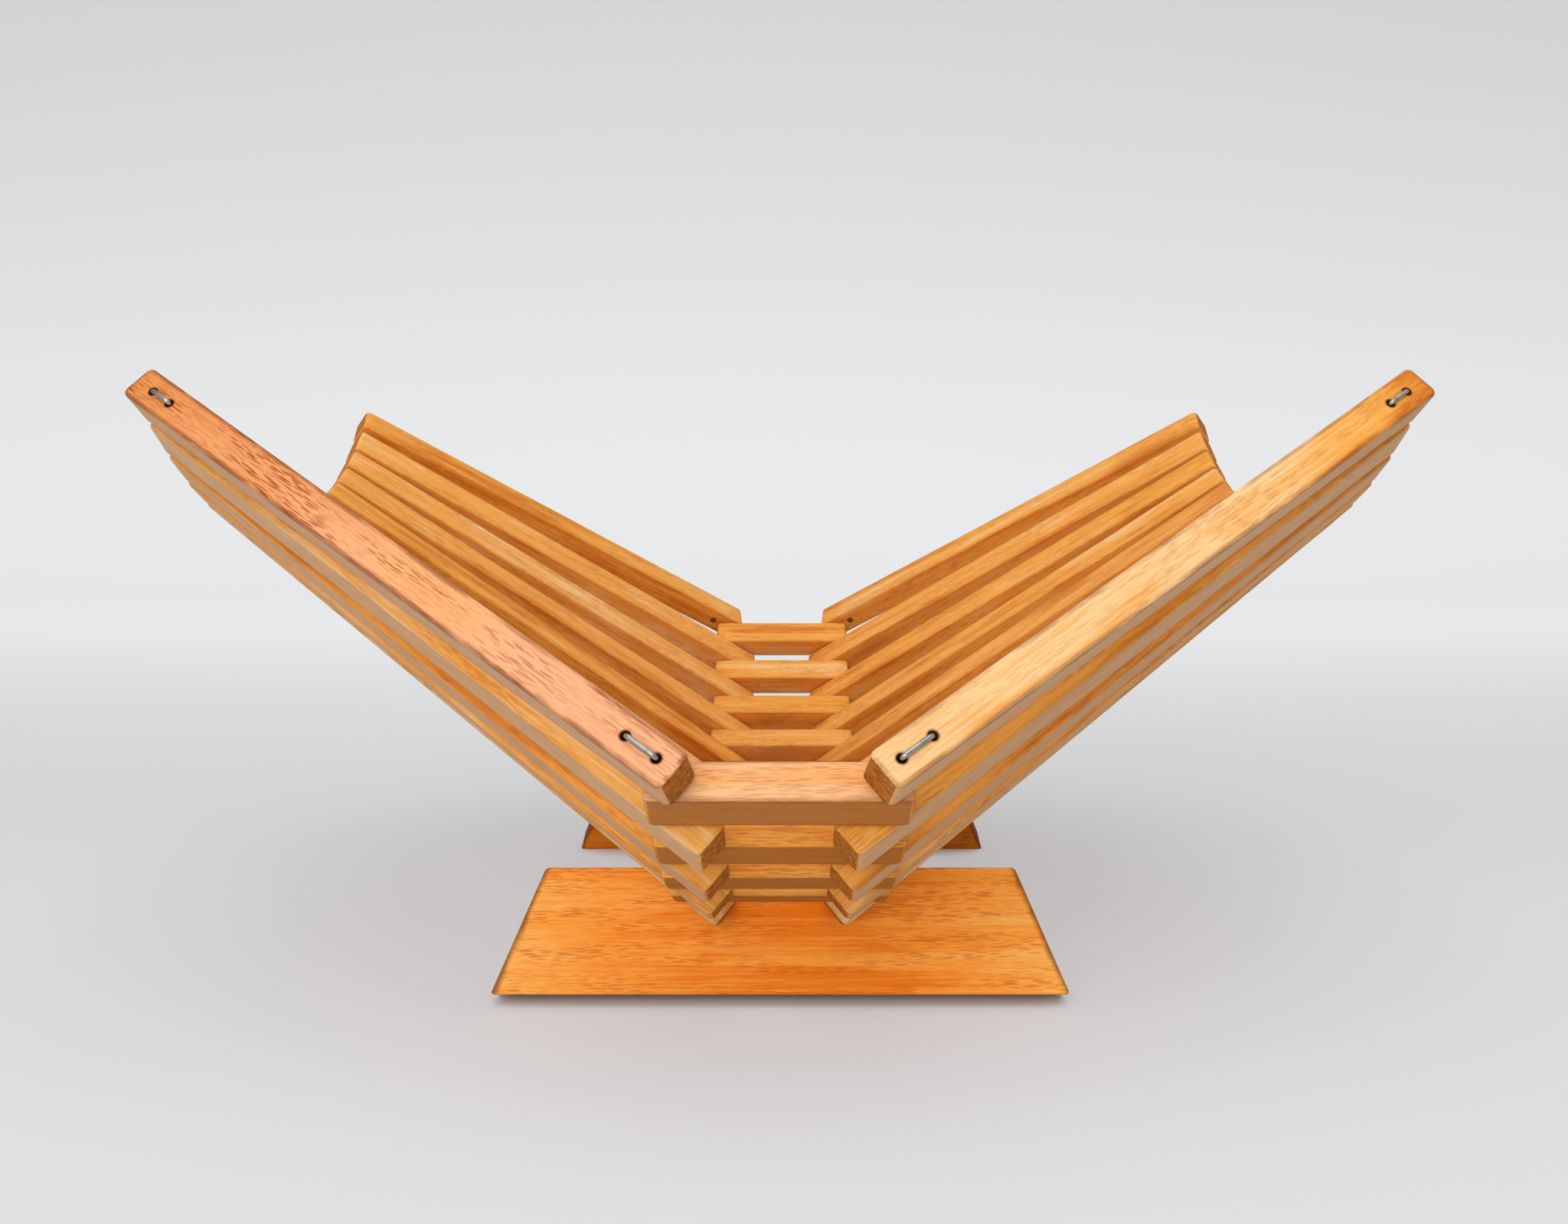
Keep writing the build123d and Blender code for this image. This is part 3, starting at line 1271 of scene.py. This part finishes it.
@dataclass
class WingSlats(Assembly):
    """The long slats that rise to the left and right of the bowl."""

    left_tone: Tone = Tone(1.15, 0.25, 1.35, 0.6, -0.2, 1.5, 0.6, 0.25)
    right_tone: Tone = Tone(0.98, 0.0, 0.55, 0.5, 0.2, 0.3, 0.2, -0.5)

    def build(self) -> Iterator[bpy.types.Object]:
        """Make every wing slat. Slats with their holes at the same places share a finish.

        Returns:
            The pieces, one by one.
        """
        fan = self.shop.fan
        finishes: dict[str, bpy.types.Material] = {}
        for cell in fan.cells():
            length = fan.wing_length(cell.step)
            blank = Blank(length, length, fan.width, fan.thickness)
            for hand in Hand:
                lay, turn = cell.wing_lay(hand)
                holes = cell.wing_bores(turn)
                place, way = "end" if cell.ended else "inner", "a" if turn > 0 else "b"
                label = f"beech_{place}_wing_{way}"
                if label not in finishes:
                    spots = tuple(hole[0] for hole in holes.values())
                    finishes[label] = BeechFinish(label, spots).material()
                tone = self.shop.any_tone(0.3, 0.7)
                if cell.ended and cell.side is Side.FRONT:
                    tone = self.left_tone if hand is Hand.LEFT else self.right_tone
                body = cell.wing_body(hand)
                yield self.shop.wood(body, blank, lay, finishes[label], tone, holes)


@dataclass
class Wires(Assembly):
    """The four wires, a length for each slat, and their stitches over the outermost slats."""

    junction_reach: float = 2.0 * MM
    tip_reach: float = 3.9 * MM
    stitch_rise: float = 0.6 * MM
    tail: float = 6.0 * MM

    def build(self) -> Iterator[bpy.types.Object]:
        """Make every length of wire.

        Returns:
            The pieces, one by one.
        """
        for cell in self.shop.fan.cells():
            if cell.has_cross:
                yield self.cross_wire(cell)
            for hand in Hand:
                yield self.wing_wire(cell, hand)

    def cross_wire(self, cell: Cell) -> bpy.types.Object:
        """The two lengths through a cross layer; the middle one stands for the wires' nodes.

        Args:
            cell: The layer's cell.

        Returns:
            The piece.
        """
        fan, lay, reach = cell.fan, cell.cross_lay(cell.fan.width / 2), self.junction_reach
        runs = [
            [lay.point(x, -reach), lay.point(x, fan.thickness + reach)]
            for x in (-fan.junction_x, fan.junction_x)
        ]
        piece = self.shop.wire(cell.cross_body, runs)
        if cell.step == 0:
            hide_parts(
                "left_junction_wire", "right_junction_wire", "left_tip_wire",
                "right_tip_wire",
            )
        return piece

    def wing_wire(self, cell: Cell, hand: Hand) -> bpy.types.Object:
        """The two lengths through a wing slat, with their stitches on an outermost slat.

        Args:
            cell: The slat's cell.
            hand: The left or right wing.

        Returns:
            The piece.
        """
        top = cell.fan.thickness
        lay, turn = cell.wing_lay(hand)
        holes = cell.wing_bores(turn)
        runs = []
        for order, reach in (("First", self.junction_reach), ("Second", self.tip_reach)):
            x = holes[f"{order} Bore"][0]
            run = [lay.point(x, -reach)]
            if cell.ended:
                far, crest = holes[f"{order} Pilot"][0], top + self.stitch_rise
                run += [lay.point(x, crest), lay.point(far, crest), lay.point(far, top - self.tail)]
            else:
                run.append(lay.point(x, top + reach))
            runs.append(run)
        return self.shop.wire(cell.wing_body(hand), runs)


@dataclass(frozen=True)
class Lamp:
    """A soft round lamp that points at the basket."""

    name: str
    place: Triple
    size: float
    power: float
    colour: Colour
    aim: Triple = (0.0, 0.0, 0.08)

    def build(self) -> None:
        """Hang the lamp."""
        data = bpy.data.lights.new(self.name, "AREA")
        data.shape = "DISK"
        data.size = self.size
        data.energy = self.power
        data.color = self.colour
        lamp = add_object(self.name, data)
        lamp.location = self.place
        lamp.rotation_mode = "QUATERNION"
        lamp.rotation_quaternion = (Vector(self.aim) - Vector(self.place)).to_track_quat("-Z", "Y")


@dataclass
class Studio:
    """A pale floor that sweeps up to a backdrop, soft lamps and the camera.

    The camera sees a share of plain glow on the floor, and none close under the object. Its
    level grows far off and near by, and drops up the wall. Each change is a ramp's start and
    end, and its strength.
    """

    floor_half_width: float = 3.0
    floor_front: float = -2.0
    floor_back: float = 1.5
    sweep_radius: float = 0.5
    sweep_steps: int = 12
    wall_height: float = 2.2
    floor_light: Colour = linear(224, 224, 225)
    floor_dark: Colour = linear(180, 180, 182)
    mottle: Pattern = Pattern((90.0, 90.0, 90.0), 4.0, 0.7, weight=0.12)
    glow: Colour = (0.985, 0.99, 1.0)
    glow_share: float = 0.56
    level: float = 0.64
    far_change: Triple = (0.1, 1.1, 0.38)
    near_change: Triple = (0.15, -0.2, 0.1)
    wall_change: Triple = (0.1, 1.2, 0.28)
    contact_reach: float = 18.0 * MM
    contact_ramp: tuple[float, float] = (0.2, 0.9)
    floor_roughness: float = 0.9
    floor_specular: float = 0.05
    sky: Colour = (0.93, 0.96, 1.0)
    sky_strength: float = 0.67
    lamps: tuple[Lamp, ...] = (
        Lamp("top_lamp", (0.1, -0.35, 1.5), 1.6, 8.5, (1.0, 0.99, 0.97)),
        Lamp("front_lamp", (-0.6, -1.6, 0.75), 1.4, 13.0, (1.0, 0.99, 0.98)),
    )
    sensor: float = 36.0
    lens: float = 29.533
    nearest: float = 0.01
    pitch: float = math.radians(5.1984)
    camera_place: Triple = (1.1 * MM, -453.8 * MM, 149.0 * MM)

    def build(self) -> None:
        """Make the floor, the sky, the lamps and the camera."""
        self.sweep()
        self.world()
        for lamp in self.lamps:
            lamp.build()
        self.camera()

    def sweep(self) -> None:
        """The floor and backdrop in one sheet."""
        back, radius = self.floor_back, self.sweep_radius
        profile = [(self.floor_front, 0.0), (back, 0.0)]
        for step in range(1, self.sweep_steps + 1):
            angle = math.pi / 2 * step / self.sweep_steps
            profile.append((back + radius * math.sin(angle), radius * (1 - math.cos(angle))))
        profile.append((back + radius, self.wall_height))
        half = self.floor_half_width
        vertices = [(x, y, z) for y, z in profile for x in (-half, half)]
        rows = range(0, 2 * len(profile) - 2, 2)
        mesh = bpy.data.meshes.new("studio_sweep")
        mesh.from_pydata(vertices, [], [(row, row + 1, row + 3, row + 2) for row in rows])
        for face in mesh.polygons:
            face.use_smooth = True
        mesh.materials.append(self.sweep_material())
        sheet = add_object("studio_sweep", mesh)

    def sweep_material(self) -> bpy.types.Material:
        """Matt pale grey that shows the camera a plain gradient and keeps a part of the shadows.

        Returns:
            The material.
        """
        material, make, shader = new_material("pale_sweep")
        place = make.node("ShaderNodeTexCoord").outputs["Object"]
        _, depth, height = make.parts(place)
        mottle = self.mottle.swing(make, place).size()
        make.feed(shader.inputs["Base Color"], make.mix(mottle, self.floor_light, self.floor_dark))
        shader.inputs["Roughness"].default_value = self.floor_roughness
        shader.inputs["Specular IOR Level"].default_value = self.floor_specular
        far, near, wall = (
            source.ramp(start, end) * strength for source, (start, end, strength) in (
                (depth, self.far_change), (depth, self.near_change), (height, self.wall_change),
            )
        )
        glow = make.first("ShaderNodeEmission", {}, {
            "Color": (*self.glow, 1.0), "Strength": far + near - wall + self.level,
        })
        rays = make.node("ShaderNodeLightPath").outputs
        camera, glossy, clear = (
            Value(make, rays[f"Is {kind} Ray"]) for kind in ("Camera", "Glossy", "Transmission")
        )
        open_floor = make.value(
            "ShaderNodeAmbientOcclusion", {"samples": 16}, {"Distance": self.contact_reach}, "AO",
        ).ramp(*self.contact_ramp)
        both = make.first("ShaderNodeMixShader", {}, {
            0: camera.high(glossy).high(clear) * open_floor * self.glow_share,
            1: shader.outputs[0], 2: glow,
        })
        make.feed(material.node_tree.nodes["Material Output"].inputs["Surface"], both)
        return material

    def world(self) -> None:
        """An even pale sky."""
        world = bpy.data.worlds.new("studio_sky")
        world.use_nodes = True
        bpy.context.scene.world = world
        background = world.node_tree.nodes["Background"]
        background.inputs["Color"].default_value = (*self.sky, 1.0)
        background.inputs["Strength"].default_value = self.sky_strength

    def camera(self) -> None:
        """The photograph's viewpoint."""
        data = bpy.data.cameras.new("viewpoint")
        data.sensor_width = self.sensor
        data.lens = self.lens
        data.clip_start = self.nearest
        eye = add_object("viewpoint", data)
        eye.location = self.camera_place
        eye.rotation_euler = (math.pi / 2 - self.pitch, 0.0, 0.0)
        bpy.context.scene.camera = eye


def main() -> None:
    """Build the basket piece by piece, then the studio about it."""
    logging.basicConfig(level=logging.INFO, format="%(message)s")
    bpy.context.scene.view_settings.view_transform = "Standard"
    shop = Workshop(Fan())
    for assembly in (CrossSlats(shop), FootPlates(shop), WingSlats(shop), Wires(shop)):
        for piece in assembly.build():
            LOG.info("%s: %d faces", piece.name, len(piece.data.polygons))
    Studio().build()


if __name__ == "__main__":
    main()
